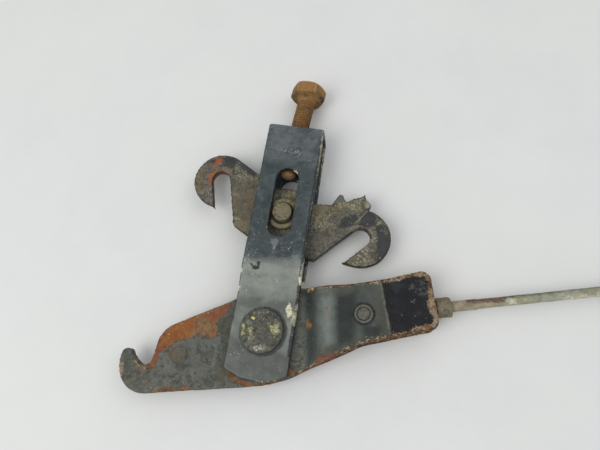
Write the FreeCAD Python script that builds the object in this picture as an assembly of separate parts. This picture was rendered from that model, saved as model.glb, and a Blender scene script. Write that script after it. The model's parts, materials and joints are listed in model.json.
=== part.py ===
"""Toggle bolt latch: a riveted hook lever, a folded yoke and a screw-adjusted double hook.

The latch lies flat.  X runs along the lever towards its handle rod, Y across it, and Z up
out of the plates.  The origin is on the pivot rivet's axis, in the plane of the rear faces.
All lengths are in millimetres and all angles in degrees.
"""
import FreeCAD
import Part
import math
import os
from FreeCAD import Placement, Rotation, Vector

# ---------------------------------------------------------------- driving dimensions
OVERALL = 17.0             # over both legs of the yoke
RUN_GAP = 0.3              # side gap between plates that move on each other
FIT = 0.05                 # radial running clearance of pins and threads

YOKE_LEAN = 8.75           # the yoke leans this far from +Y towards +X
YOKE_SHEET = 3.0
YOKE_WIDTH = 30.0
YOKE_TOP = 107.2           # pivot to the outside of the folded web
YOKE_STEP = (15.0, 31.0)   # the legs step outwards between these distances from the pivot
YOKE_FOOT = 22.5           # pivot to the rounded lower end
YOKE_FOOT_RADIUS = 29.0
SLOT = (45.4, 81.8)        # ends of the long hole in both legs
SLOT_WIDTH = 11.3
BLOCK_LENGTH = 20.0
BLOCK_WIDTH = 28.0

PLY = 2.5                  # one plate of the lever
BOX_MARGIN = 0.5           # the spread plates stay this far inside the yoke's outer faces
JOGGLE = (20.0, 30.5)      # the plates spread apart between these X
BOX_MIDDLE = 44.0          # an X on the flat of the spread part
CREASE = (57.6, 11.3)      # X of the crease where Y is 0, and its lean
CREASE_DROP = 7.5          # slope of the front plate beyond the crease
END_FACE = 80.5            # pivot to the outside of the end flange, along the rod
END_LOW, END_HIGH = -3.2, 14.8   # the straight part of the end flange, across the rod
END_BEND = 2.0             # outer radius of the bend into the end flange

RIVET_SHANK = 6.0
RIVET_HEAD = 10.4
PLY_RIVET = 3.75
HOOK_RIVET_PLACE = (-39.7, -10.3)
HEEL_RIVET_PLACE = (15.4, -9.5)
SPACER_PLACE = (46.8, 6.6)
SPACER_SHANK = 2.5
SPACER_SLEEVE = 4.6
SPACER_RIM = 4.3

BOLT_LEAN = 4.0            # the tapped block was welded in slightly askew
BOLT_RADIUS = 5.0          # M10
BOLT_FLATS = 17.0
BOLT_HEAD = 7.0
BOLT_REACH = 21.9          # web to the underside of the head
BOLT_DEPTH = 24.2          # web to the lower end of the thread
WEB_CLEARANCE = 0.5        # radial, where the bolt passes the web
THRUST_STEM = 2.5
THRUST_HEAD = 4.1
THRUST_LENGTH = 3.5

PIN_PLACE = 58.6           # cross pin, from the pivot along the yoke
PIN_RADIUS = 5.0
PIN_RECESS = 0.4
COLLAR_RADIUS = 8.2

HOOK_PLATE = 4.0
HOOK_TILT = 17.3           # of the double hook against the yoke
HOOK_REACH = 40.1          # cross pin to each seat, across the double hook
HOOK_RISE = 4.65           # cross pin to each seat, along the double hook
HOOK_RADIUS = 15.05
SEAT_RADIUS = 4.6
SPLAY_LEFT = 32.5          # of each mouth against the double hook's axis
SPLAY_RIGHT = 28.0
TIP_REACH = 15.2           # seat centre to the tip, along the mouth
CAM_RADIUS = 15.2          # round top edge that the thrust pin presses on
CAM_SPAN = 35.0            # half of the round edge's angle
SHOULDER = (20.3, 15.2)    # top edge where each arm meets its hook, from the cross pin
ARM_BOTTOM = -15.5         # inner corner of each mouth, along the double hook
HUB_CORNER = (12.3, -17.6)
HUB_BOTTOM = -18.6
STUMP = ((19.9, 15.8), (21.2, 22.0), (23.2, 22.5), (24.9, 20.5), (26.4, 19.7), (28.3, 22.2),
         (31.1, 24.4), (33.3, 26.7), (34.9, 25.0), (38.5, 22.9), (38.2, 19.8))   # torn lug

ROD_LEAN = 4.9             # slope of the handle rod from +X
ROD_HEIGHT = 7.0           # rod axis above the rear plane
ROD_OFFSET = 3.0           # rod axis past the pivot, square to the rod
ROD_THREAD = 2.5           # M5
ROD_PLAIN = 2.2
ROD_START = 71.5           # pivot to the inner end, along the rod
ROD_END = 178.0            # pivot to the free end, along the rod
ROD_ROOT_THREAD = 98.8     # the first thread stops here
ROD_END_THREAD = 18.0
NUT_FLATS = 8.6            # outer nut, an old size
NUT_FLATS_INSIDE = 8.0
NUT_THICK = 7.2
NUT_THIN = 4.0

MID = OVERALL / 2
LEVER_HALF = PLY + RUN_GAP                  # middle plane to the legs' grip
GRIP = MID - LEVER_HALF - YOKE_SHEET        # rear plane to the outside of the stepped-in leg
BOX_TOP = OVERALL - BOX_MARGIN
WEB_INSIDE = YOKE_TOP - YOKE_SHEET
CAM_CORNER = (CAM_RADIUS * math.sin(math.radians(CAM_SPAN)),
              CAM_RADIUS * math.cos(math.radians(CAM_SPAN)))
CAM_STEP = (CAM_CORNER[0] + 3.2, CAM_CORNER[1])


# ---------------------------------------------------------------- helpers
def moved(shape, placement):
    """A copy of a shape, carried by one more placement."""
    copy = shape.copy()
    copy.Placement = placement.multiply(shape.Placement)
    return copy


def turn_z(angle, x=0.0, y=0.0, z=0.0):
    """A turn about Z, then a shift."""
    return Placement(Vector(x, y, z), Rotation(Vector(0, 0, 1), angle))


def in_yoke(shape):
    """From the yoke's frame, with the pivot at 0 and the web at +Y, to the latch's frame."""
    return moved(shape, turn_z(-YOKE_LEAN))


def on_bolt(shape):
    """From a frame with +Z towards the bolt's head to the yoke's frame."""
    upright = Placement(Vector(0, YOKE_TOP, MID), Rotation(Vector(1, 0, 0), -90))
    askew = Placement(Vector(0, 0, 0), Rotation(Vector(0, 0, 1), -BOLT_LEAN), Vector(0, YOKE_TOP, 0))
    return moved(moved(shape, upright), askew)


def on_rod(shape):
    """From a frame with +Z along the handle rod and +Y up to the latch's frame."""
    lying = Placement(Vector(0, ROD_OFFSET, ROD_HEIGHT), Rotation(Vector(1, 1, 1), 120))
    return moved(moved(shape, lying), turn_z(ROD_LEAN))


def outline(start, *moves):
    """A closed face in XY.  A move is an end point, or an arc as (middle, end)."""
    def flat(point):
        return Vector(point[0], point[1], 0)
    edges = []
    here = flat(start)
    for move in list(moves) + [start]:
        if len(move) == 2 and not isinstance(move[0], float | int):
            middle, end = flat(move[0]), flat(move[1])
            edges.append(Part.Arc(here, middle, end).toShape())
        else:
            end = flat(move)
            if here.distanceToPoint(end) > 1e-6:
                edges.append(Part.LineSegment(here, end).toShape())
        here = end
    return Part.Face(Part.Wire(edges))


def prism(face, low, high):
    """Extrude a face in XY from one height to another."""
    solid = face.extrude(Vector(0, 0, high - low))
    solid.translate(Vector(0, 0, low))
    return solid


def folded(points, low, high):
    """Extrude an outline of (x, z) points along Y, from low to high."""
    corners = [Vector(x, low, z) for x, z in points]
    return Part.Face(Part.makePolygon(corners + corners[:1])).extrude(Vector(0, high - low, 0))


def post(radius, low, high, place=(0.0, 0.0)):
    """A round bar about the vertical axis at place."""
    return Part.makeCylinder(radius, high - low, Vector(place[0], place[1], low))


def revolved(points, place=(0.0, 0.0)):
    """Revolve a closed (radius, z) outline about the vertical axis at place."""
    corners = [Vector(radius, 0, z) for radius, z in points]
    face = Part.Face(Part.makePolygon(corners + corners[:1]))
    solid = face.revolve(Vector(0, 0, 0), Vector(0, 0, 1), 360)
    solid.translate(Vector(place[0], place[1], 0))
    return solid


def hexagon(flats, low, high):
    """A hexagonal prism about Z, flats facing +Y and -Y, its corners broken at both ends."""
    corner = flats / math.sqrt(3)
    ring = [Vector(corner * math.cos(math.radians(60 * i)),
                   corner * math.sin(math.radians(60 * i)), low) for i in range(6)]
    body = Part.Face(Part.makePolygon(ring + ring[:1])).extrude(Vector(0, 0, high - low))
    drop = (corner - flats / 2) * math.tan(math.radians(30))
    broken = revolved([(0, low), (flats / 2, low), (corner, low + drop),
                       (corner, high - drop), (flats / 2, high), (0, high)])
    return body.common(broken)


def rounded(shape, size, chosen):
    """Round the edges for which chosen(box of the edge) is true."""
    return shape.makeFillet(size, [edge for edge in shape.Edges if chosen(edge.BoundBox)])


def mirrored(shape):
    """The same shape on the other side of the middle plane."""
    return shape.mirror(Vector(0, 0, MID), Vector(0, 0, 1))


# ---------------------------------------------------------------- yoke
def strap_side():
    """Both legs and the web seen from the side, as (distance from the pivot, z)."""
    low, high = YOKE_STEP
    foot = -YOKE_FOOT - 5
    outside = [(foot, GRIP), (low, GRIP), (high, 0), (YOKE_TOP, 0)]
    inside = [(WEB_INSIDE, YOKE_SHEET), (high, YOKE_SHEET), (low, MID - LEVER_HALF),
              (foot, MID - LEVER_HALF)]

    def over(points):
        return [(y, OVERALL - z) for y, z in reversed(points)]
    return outside + over(outside) + over(inside) + inside


def strap_plan():
    """The strap seen from the front, with its rounded foot."""
    half = YOKE_WIDTH / 2
    foot_side = YOKE_FOOT_RADIUS - YOKE_FOOT - math.sqrt(YOKE_FOOT_RADIUS ** 2 - half ** 2)
    corner = 1.5
    inset = corner * (1 - math.sqrt(0.5))
    return outline((-half, foot_side), ((0, -YOKE_FOOT), (half, foot_side)),
                   (half, YOKE_TOP - corner),
                   ((half - inset, YOKE_TOP - inset), (half - corner, YOKE_TOP)),
                   (corner - half, YOKE_TOP),
                   ((inset - half, YOKE_TOP - inset), (-half, YOKE_TOP - corner)))


def slot_plan():
    """The long hole that the cross pin slides in."""
    half = SLOT_WIDTH / 2
    low, high = SLOT
    return outline((-half, low + half), ((0, low), (half, low + half)), (half, high - half),
                   ((0, high), (-half, high - half)))


def yoke_strap():
    """A strap folded into a U, its legs stepping inwards to grip the lever."""
    side = [Vector(-YOKE_WIDTH / 2 - 1, y, z) for y, z in strap_side()]
    strap = Part.Face(Part.makePolygon(side + side[:1])).extrude(Vector(YOKE_WIDTH + 2, 0, 0))
    strap = rounded(strap, 2.0, lambda box: abs(box.YMin - YOKE_TOP) < 1e-4 and box.XLength > 1
                    and box.ZLength < 1e-4)
    strap = strap.common(prism(strap_plan(), -1, OVERALL + 1))
    for hole in (prism(slot_plan(), -1, OVERALL + 1), post(RIVET_SHANK, -1, OVERALL + 1),
                 on_bolt(post(BOLT_RADIUS + WEB_CLEARANCE, -8, 8))):
        strap = strap.cut(hole)
    return in_yoke(strap)


def adjuster_block():
    """The tapped block between the legs that the adjuster bolt screws through."""
    block = Part.makeBox(BLOCK_WIDTH, BLOCK_LENGTH, OVERALL - 2 * YOKE_SHEET,
                         Vector(-BLOCK_WIDTH / 2, WEB_INSIDE - BLOCK_LENGTH, YOKE_SHEET))
    return in_yoke(block.cut(on_bolt(post(BOLT_RADIUS + FIT, -BLOCK_LENGTH - 10, 0))))


def block_welds():
    """Four weld beads in the corners between the block and the legs."""
    length = BLOCK_LENGTH - 4
    start = WEB_INSIDE - BLOCK_LENGTH + 2
    side = BLOCK_WIDTH / 2
    beads = []
    for hand in (-1, 1):
        for leg, inwards in ((YOKE_SHEET, 1), (OVERALL - YOKE_SHEET, -1)):
            corners = [Vector(hand * side, start, leg), Vector(hand * (side + 1), start, leg),
                       Vector(hand * side, start, leg + inwards * 2)]
            bead = Part.Face(Part.makePolygon(corners + corners[:1])).extrude(Vector(0, length, 0))
            beads.append(bead)
    return in_yoke(Part.makeCompound(beads))


def pivot_rivet():
    """Shank through both legs and the lever, with a low dome in front and a flat head behind."""
    neck = OVERALL - GRIP
    return revolved([(0, 0), (RIVET_HEAD - 0.8, 0), (RIVET_HEAD, 0.8), (RIVET_HEAD, GRIP),
                     (RIVET_SHANK, GRIP), (RIVET_SHANK, neck), (RIVET_HEAD, neck),
                     (RIVET_HEAD, neck + 1.5), (RIVET_HEAD - 0.5, neck + 2.1),
                     (RIVET_HEAD - 2.2, neck + 2.5), (RIVET_HEAD - 5.2, neck + 2.7),
                     (0, neck + 2.8)])


# ---------------------------------------------------------------- adjuster
def adjuster_bolt():
    """Hexagon-head screw, drilled at its lower end for the thrust pin."""
    end = -BOLT_DEPTH
    shank = revolved([(0, end), (BOLT_RADIUS - 1, end), (BOLT_RADIUS, end + 1),
                      (BOLT_RADIUS, BOLT_REACH), (0, BOLT_REACH)])
    bolt = shank.fuse(hexagon(BOLT_FLATS, BOLT_REACH, BOLT_REACH + BOLT_HEAD))
    bolt = bolt.cut(post(THRUST_STEM + FIT, end - 1, end + 7.5))
    return in_yoke(on_bolt(bolt))


def thrust_pin():
    """Round-ended pin that stays still in the turning bolt and presses on the double hook."""
    shoulder = -BOLT_DEPTH - 0.1
    end = shoulder - THRUST_LENGTH
    pin = revolved([(0, end), (1.6, end + 0.25), (3.0, end + 0.95), (THRUST_HEAD, end + 2.2),
                    (THRUST_HEAD, shoulder), (THRUST_STEM, shoulder),
                    (THRUST_STEM, shoulder + 7), (0, shoulder + 7)])
    return in_yoke(on_bolt(pin))


# ---------------------------------------------------------------- cross pin and double hook
def cross_pin():
    """Pin through both slots, flush with the legs, its ends lightly chamfered."""
    low, high = PIN_RECESS, OVERALL - PIN_RECESS
    edge = 0.5
    return in_yoke(revolved([(0, low), (PIN_RADIUS - edge, low), (PIN_RADIUS, low + edge),
                             (PIN_RADIUS, high - edge), (PIN_RADIUS - edge, high), (0, high)],
                            (0, PIN_PLACE)))


def pin_collar():
    """Front collar pressed on the cross pin, between the double hook and the leg."""
    low = MID + HOOK_PLATE / 2 + RUN_GAP
    high = OVERALL - YOKE_SHEET - RUN_GAP
    edge = 0.3
    return in_yoke(revolved([(PIN_RADIUS, low), (COLLAR_RADIUS, low), (COLLAR_RADIUS, high - edge),
                             (COLLAR_RADIUS - edge, high), (PIN_RADIUS, high)], (0, PIN_PLACE)))


def hook_arm(splay):
    """One hook and its arm.  The cross pin is at 0, +Y is the double hook's axis, the hook at +X."""
    spread = math.radians(splay)
    along = Vector(math.sin(spread), math.cos(spread), 0)
    across = Vector(math.cos(spread), -math.sin(spread), 0)
    centre = Vector(HOOK_REACH, HOOK_RISE, 0)
    seat_out = centre + across * SEAT_RADIUS
    seat_in = centre - across * SEAT_RADIUS
    tip = seat_out - along * TIP_REACH
    corner = seat_in - along * ((seat_in.y - ARM_BOTTOM) / along.y)
    shoulder = Vector(SHOULDER[0], SHOULDER[1], 0)

    def touch(point, side):
        """Where a line from a point grazes the hook's round outside, as an angle."""
        away = point - centre
        return math.atan2(away.y, away.x) + side * math.acos(HOOK_RADIUS / away.Length)

    def rim(angle):
        return centre + Vector(math.cos(angle), math.sin(angle), 0) * HOOK_RADIUS

    back, nose = touch(shoulder, -1), touch(tip, 1)
    arc = (rim((back + nose) / 2), rim(nose))
    seat = (centre + along * SEAT_RADIUS, seat_in)
    return hook_prism(outline((0, 0), CAM_CORNER, CAM_STEP, shoulder, rim(back), arc,
                              tip, seat_out, seat, corner, HUB_CORNER))


def hook_prism(face):
    """Extrude a face to the double hook's thickness, about the middle plane."""
    return prism(face, MID - HOOK_PLATE / 2, MID + HOOK_PLATE / 2)


def double_hook():
    """Flat plate with two hooks, a round top edge, and the stump of a broken-off lug."""
    right = hook_arm(SPLAY_RIGHT)
    left = hook_arm(SPLAY_LEFT).mirror(Vector(0, 0, 0), Vector(1, 0, 0))
    hub = hook_prism(outline((-HUB_CORNER[0], HUB_CORNER[1]), ((0, HUB_BOTTOM), HUB_CORNER),
                             CAM_CORNER, ((0, CAM_RADIUS), (-CAM_CORNER[0], CAM_CORNER[1]))))
    stump = hook_prism(outline((30.0, 8.0), *STUMP))
    plate = right.fuse([left, hub, stump]).removeSplitter()
    plate = plate.cut(post(PIN_RADIUS + FIT, 0, OVERALL))
    return in_yoke(moved(plate, turn_z(-HOOK_TILT, 0, PIN_PLACE)))


# ---------------------------------------------------------------- lever
def lever_plan():
    """The lever seen from the front, from the hook's tip round by the lower edge."""
    lean = math.radians(ROD_LEAN)

    def end_point(across):
        return (END_FACE * math.cos(lean) - across * math.sin(lean),
                END_FACE * math.sin(lean) + across * math.cos(lean))
    return outline((-62.9, -9.2), ((-65.1, -6.6), (-68.3, -8.8)),
                   ((-66.7, -21.4), (-55.0, -27.3)),
                   (-5.0, -24.4), ((8.6, -22.2), (20.5, -17.2)),
                   (40.5, -8.9), ((44.8, -7.0), (49.5, -5.8)),
                   (75.2, -1.1), ((79.5, 0.9), end_point(END_LOW)),
                   end_point(END_HIGH), ((77.3, 25.3), (73.2, 26.3)),
                   (58.0, 22.9), ((48.0, 21.2), (38.0, 20.4)),
                   (8.0, 19.9), ((-1.5, 19.2), (-10.0, 17.2)),
                   (-42.8, 4.8), ((-48.9, 0.6), (-51.6, -5.6)),
                   (-52.9, -11.3), ((-55.7, -14.2), (-59.2, -13.2)))


def joggled(end):
    """Front plate without its outline: flat on the middle plane, then stepped up, then flat."""
    low, high = JOGGLE
    top = MID + PLY
    shift = PLY * math.tan(math.atan2(BOX_TOP - top, high - low) / 2)
    sheet = folded([(-90, MID), (low + shift, MID), (high + shift, BOX_TOP - PLY),
                    (end, BOX_TOP - PLY), (end, BOX_TOP), (high, BOX_TOP), (low, top), (-90, top)],
                   -60, 60)
    for x, z, radius in ((low, top, 4.0), (low + shift, MID, 6.5), (high, BOX_TOP, 7.5),
                         (high + shift, BOX_TOP - PLY, 5.0)):
        sheet = rounded(sheet, radius, lambda box, x=x, z=z: abs(box.XMin - x) < 1e-3
                        and abs(box.ZMin - z) < 1e-3 and box.YLength > 100
                        and box.XLength < 1e-3)
    return sheet


def sloping(depth):
    """A layer this deep under the front face, which slopes down beyond the crease."""
    foot, lean = CREASE
    start = foot * math.cos(math.radians(lean))
    slope = math.tan(math.radians(CREASE_DROP))
    inner = start - depth * math.tan(math.radians(CREASE_DROP / 2))
    under = BOX_TOP - depth
    run = 40.0
    sheet = folded([(0, under), (inner, under), (inner + run, under - run * slope),
                    (start + run, BOX_TOP - run * slope), (start, BOX_TOP), (0, BOX_TOP)], -60, 60)
    sheet = moved(sheet, turn_z(lean))
    return sheet.common(Part.makeBox(60, 120, OVERALL, Vector(BOX_MIDDLE, -60, 0)))


def lever_holes(plate):
    """Pivot, ply rivets and spacer rivet."""
    for radius, place in ((RIVET_SHANK + FIT, (0, 0)), (PLY_RIVET, HOOK_RIVET_PLACE),
                          (PLY_RIVET, HEEL_RIVET_PLACE), (SPACER_SHANK, SPACER_PLACE)):
        plate = plate.cut(post(radius, -1, OVERALL + 1, place))
    return plate


def lever_front_plate():
    """Front plate, with the end flange that the handle rod passes through."""
    plate = joggled(BOX_MIDDLE).fuse(sloping(PLY)).removeSplitter()
    plate = plate.common(prism(lever_plan(), 0, OVERALL))
    rear_inside = BOX_MARGIN + PLY
    flange = Part.makeBox(PLY, END_HIGH - END_LOW, OVERALL - rear_inside,
                          Vector(END_FACE - PLY, END_LOW, rear_inside))
    flange = moved(flange, turn_z(ROD_LEAN)).common(sloping(OVERALL))
    plate = plate.fuse(flange).removeSplitter()
    plate = rounded(plate, END_BEND, lambda box: box.XMin > 76 and box.YLength > 15
                    and box.ZMin > 12)
    plate = plate.cut(on_rod(post(ROD_THREAD + 0.25, ROD_START, ROD_END)))
    return lever_holes(plate)


def lever_rear_plate():
    """Rear plate: the front plate's step mirrored, then flat to the end."""
    plate = mirrored(joggled(90.0).common(prism(lever_plan(), 0, OVERALL)))
    return lever_holes(plate)


def ply_rivet(place):
    """Rivet through both plates where they lie together, nearly flush with them."""
    low, high = MID - PLY, MID + PLY
    crown = 0.12
    return revolved([(0, low - crown), (PLY_RIVET - 0.6, low - crown), (PLY_RIVET, low),
                     (PLY_RIVET, high), (PLY_RIVET - 0.6, high + crown), (0, high + crown)], place)


def spacer_rivet():
    """Tubular-ended rivet that ties the spread plates together over a sleeve."""
    top = BOX_TOP
    rim = SPACER_RIM
    return revolved([(0, 0.2), (rim - 1.6, 0.2), (rim - 1.0, 0), (rim - 0.4, 0), (rim, BOX_MARGIN),
                     (SPACER_SHANK, BOX_MARGIN), (SPACER_SHANK, top), (rim, top),
                     (rim - 0.1, top + 0.35), (rim - 0.7, top + 0.6), (rim - 1.3, top + 0.35),
                     (rim - 1.6, top + 0.1), (0, top + 0.1)], SPACER_PLACE)


def spacer_sleeve():
    """Tube that keeps the spread plates apart."""
    low, high = BOX_MARGIN + PLY, BOX_TOP - PLY
    return post(SPACER_SLEEVE, low, high, SPACER_PLACE).cut(
        post(SPACER_SHANK, low - 1, high + 1, SPACER_PLACE))


def handle_rod():
    """Round rod with a thread at each end."""
    start, end = ROD_START, ROD_END
    step = ROD_THREAD - ROD_PLAIN
    rod = revolved([(0, start), (ROD_THREAD - 0.6, start), (ROD_THREAD, start + 0.6),
                    (ROD_THREAD, ROD_ROOT_THREAD), (ROD_PLAIN, ROD_ROOT_THREAD + step),
                    (ROD_PLAIN, end - ROD_END_THREAD - step), (ROD_THREAD, end - ROD_END_THREAD),
                    (ROD_THREAD, end - 0.8), (ROD_THREAD - 0.8, end), (0, end)])
    return on_rod(rod)


def rod_nut(flats, low, high):
    """Hexagon nut on the rod's inner thread."""
    return on_rod(hexagon(flats, low, high).cut(post(ROD_THREAD, low - 1, high + 1)))


# ---------------------------------------------------------------- write everything
def all_parts():
    """Every node's name and its shape."""
    collar = pin_collar()
    return {
        "lever_front_plate": lever_front_plate(),
        "lever_rear_plate": lever_rear_plate(),
        "hook_ply_rivet": ply_rivet(HOOK_RIVET_PLACE),
        "heel_ply_rivet": ply_rivet(HEEL_RIVET_PLACE),
        "spacer_rivet": spacer_rivet(),
        "spacer_sleeve": spacer_sleeve(),
        "handle_rod": handle_rod(),
        "rod_nut_outer": rod_nut(NUT_FLATS, END_FACE, END_FACE + NUT_THICK),
        "rod_nut_inner": rod_nut(NUT_FLATS_INSIDE, END_FACE - PLY - NUT_THIN, END_FACE - PLY),
        "pivot_rivet": pivot_rivet(),
        "yoke_strap": yoke_strap(),
        "adjuster_block": adjuster_block(),
        "block_welds": block_welds(),
        "adjuster_bolt": adjuster_bolt(),
        "thrust_pin": thrust_pin(),
        "cross_pin": cross_pin(),
        "pin_collar_front": collar,
        "pin_collar_rear": mirrored(collar),
        "double_hook": double_hook(),
    }


os.makedirs("parts", exist_ok=True)
for node, shape in all_parts().items():
    shape.exportStep("parts/" + node + ".step")
    box = shape.BoundBox
    print(node, len(shape.Solids), shape.isValid(), round(shape.Volume),
          [round(v, 1) for v in (box.XMin, box.YMin, box.ZMin, box.XMax, box.YMax, box.ZMax)])
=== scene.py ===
"""Toggle bolt latch: worn painted steel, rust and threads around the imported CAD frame.

Sizes are named in millimetres and turned into metres by MM.  The latch's frame is the CAD's:
+X along the lever to the handle rod, +Y across it, +Z out of the plates, the pivot at 0.
"""
import json
import math

import bmesh
import bpy
import numpy as np
from mathutils import Matrix, Vector, kdtree, noise


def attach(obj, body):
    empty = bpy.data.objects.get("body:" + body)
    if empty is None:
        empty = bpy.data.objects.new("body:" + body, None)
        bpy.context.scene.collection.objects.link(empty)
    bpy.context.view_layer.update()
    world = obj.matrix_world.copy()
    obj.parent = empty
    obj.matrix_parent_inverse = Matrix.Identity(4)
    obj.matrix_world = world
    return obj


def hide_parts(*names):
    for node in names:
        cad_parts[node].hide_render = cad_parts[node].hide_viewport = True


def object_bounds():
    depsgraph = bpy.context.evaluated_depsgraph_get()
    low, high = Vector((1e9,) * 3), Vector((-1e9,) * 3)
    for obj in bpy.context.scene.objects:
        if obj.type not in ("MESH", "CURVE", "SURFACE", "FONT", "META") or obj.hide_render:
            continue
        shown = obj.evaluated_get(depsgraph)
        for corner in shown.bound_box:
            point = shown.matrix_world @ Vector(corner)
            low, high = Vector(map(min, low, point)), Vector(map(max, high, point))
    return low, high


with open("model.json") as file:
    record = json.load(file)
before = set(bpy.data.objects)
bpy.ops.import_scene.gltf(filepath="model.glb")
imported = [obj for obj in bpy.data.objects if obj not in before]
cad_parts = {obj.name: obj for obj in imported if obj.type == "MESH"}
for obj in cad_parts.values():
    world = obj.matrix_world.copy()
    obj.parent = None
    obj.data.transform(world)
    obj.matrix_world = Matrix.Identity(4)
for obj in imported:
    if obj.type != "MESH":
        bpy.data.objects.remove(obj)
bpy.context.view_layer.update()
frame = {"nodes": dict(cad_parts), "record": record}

MM = 0.001
SHARP = math.radians(28)    # edges bent more than this count as sharp
EDGE_STEP = 0.4             # spacing of the points that stand for a sharp edge
SEAM = 0.001                # vertices of the CAD's meshes closer than this are one
BOLT_PITCH, ROD_PITCH = 1.5, 0.8
TABLE_GAP = 0.2             # the floor lies this far under the latch
HOOK_TURN = -32.5           # from the left seat's axis to the double hook's own, in degrees
NOISE_SPREAD = 9            # centred noise times this swings by about 1
CLOUD_LOW, CLOUD_SPAN = 0.34, 0.32  # most of noise's values lie in this range
UPRIGHT = (0.55, 0.25)      # most of Z in an upright face's normal, and how softly it ends
OUTSIDE, NO_EDGE = -9.0, 9.0  # stored distances well outside an outline, and far from any edge
RIVET_COVER = 6.0           # paint hides edges this near a flush rivet's middle
RIVET_RIM, RIM_HALF = 4.0, 0.35  # radius and half the width of its faint ring
PLATE_EDGE, PART_EDGE = (0.7, 0.22), (0.45, 0.15)  # how wide and deep edges are worn
PLATE_LUMPS, PIT_SIZE = 6.0, 1.4  # sizes of the relief on plates and of the pits in rust
PIT_RISE, PIT_BORDER = 0.7, 0.4  # how fast pits deepen inside a border, and their depth at it
GROOVE_HALF, GROOVE_FLAT = 0.42, 1.1  # half a groove's share of a turn; over 1, its floor is flat


# -------- places read from the frame
def named(rows, name, key="name"):
    """The entry of a list in the record that has this name."""
    return next(one for one in rows if one[key] == name)


def flat_frame(axis, origin=(0.0, 0.0, 0.0)):
    """A frame at origin whose +Y points along axis, with +Z still up."""
    lean = math.atan2(axis[0], axis[1])
    return Matrix.Translation(origin) @ Matrix.Rotation(-lean, 4, "Z")


def shaft_frame(axis, origin):
    """A frame at origin whose +Z points along axis and whose +Y points down."""
    return flat_frame(axis, origin) @ Matrix.Rotation(math.radians(-90), 4, "X")


RECORD = frame["record"]
JOINTS, MOUNTS = RECORD["behaviour"]["joints"], RECORD["mounts"]
TURN, END = named(JOINTS, "adjuster_turn"), named(MOUNTS, "rod_end_thread")
OUT = [-part for part in TURN["axis"]]
YOKE = flat_frame([-part for part in named(JOINTS, "pin_slide")["axis"]])
BOLT, BOLT_PLAN = shaft_frame(OUT, TURN["pos_m"]), flat_frame(OUT, TURN["pos_m"])
HOOK = (Matrix.Translation(named(JOINTS, "hook_tilt")["pos_m"])
        @ flat_frame([-part for part in named(MOUNTS, "left_hook_seat")["axis"]])
        @ Matrix.Rotation(math.radians(HOOK_TURN), 4, "Z"))
ROD, ROD_PLAN = shaft_frame(END["axis"], END["pos_m"]), flat_frame(END["axis"])
LATCH = Matrix.Identity(4)


# -------- meshes
def linked(name, data):
    """A new object in the scene."""
    holder = bpy.data.objects.new(name, data)
    bpy.context.scene.collection.objects.link(holder)
    return holder


def new_piece(name, mesh, node):
    """A piece that stands for a CAD node and rides on its body."""
    piece = linked(name, mesh)
    bodies = RECORD["behaviour"]["bodies"]
    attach(piece, next(body for body, nodes in bodies.items() if node in nodes))
    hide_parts(node)
    return piece


def positions(mesh, what="co"):
    """The vertices' places, or another of their vectors, as rows of x, y, z."""
    rows = np.empty(len(mesh.vertices) * 3)
    mesh.vertices.foreach_get(what, rows)
    return rows.reshape(-1, 3)


def put_positions(mesh, rows):
    """Moves the mesh's vertices to these rows."""
    mesh.vertices.foreach_set("co", rows.ravel())
    mesh.update()


def local_rows(mesh, place):
    """The mesh's vertices in a local frame, in millimetres."""
    back = np.array(place.inverted())
    return (positions(mesh) @ back[:3, :3].T + back[:3, 3]) / MM


def sharp_points(bm):
    """Points along every sharp edge, in a tree that finds the nearest."""
    points = []
    for edge in bm.edges:
        if len(edge.link_faces) == 2 and edge.calc_face_angle(0.0) > SHARP:
            steps = max(1, round(edge.calc_length() / (EDGE_STEP * MM)))
            start, end = (vertex.co for vertex in edge.verts)
            points += [start.lerp(end, step / steps) for step in range(steps + 1)]
    tree = kdtree.KDTree(len(points))
    for index, point in enumerate(points):
        tree.insert(point, index)
    tree.balance()
    return tree


def welded(node):
    """The CAD node's shape with its seams closed."""
    bm = bmesh.new()
    bm.from_mesh(frame["nodes"][node].data)
    bmesh.ops.remove_doubles(bm, verts=bm.verts, dist=SEAM * MM)
    return bm


def measure_edges(mesh, node):
    """Stores each vertex's distance to the CAD node's nearest sharp edge."""
    bm = welded(node)
    tree = sharp_points(bm)
    bm.free()
    put_field(mesh, "edge", np.array([tree.find(vertex.co)[2] / MM for vertex in mesh.vertices]))


def centre(node):
    """The middle of a CAD node's box, in millimetres."""
    rows = positions(frame["nodes"][node].data)
    return (rows.min(axis=0) + rows.max(axis=0)) / 2 / MM


def around(mesh, node):
    """How far each vertex lies from a node's upright middle line, in millimetres."""
    rows = positions(mesh) / MM
    middle = centre(node)
    return np.hypot(rows[:, 0] - middle[0], rows[:, 1] - middle[1])


def hide_rivets(mesh):
    """Paint covers the flush rivets: only faint rings tell where their rims are."""
    edge, ring = get_field(mesh, "edge"), np.full(len(mesh.vertices), OUTSIDE)
    for node in ("hook_ply_rivet", "heel_ply_rivet"):
        away = around(mesh, node)
        edge = np.where(away < RIVET_COVER, NO_EDGE, edge)
        ring = np.maximum(ring, RIM_HALF - np.abs(away - RIVET_RIM))
    put_field(mesh, "edge", np.where(around(mesh, "spacer_rivet") < RIVET_COVER, NO_EDGE, edge))
    put_field(mesh, "ring", ring)


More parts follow.
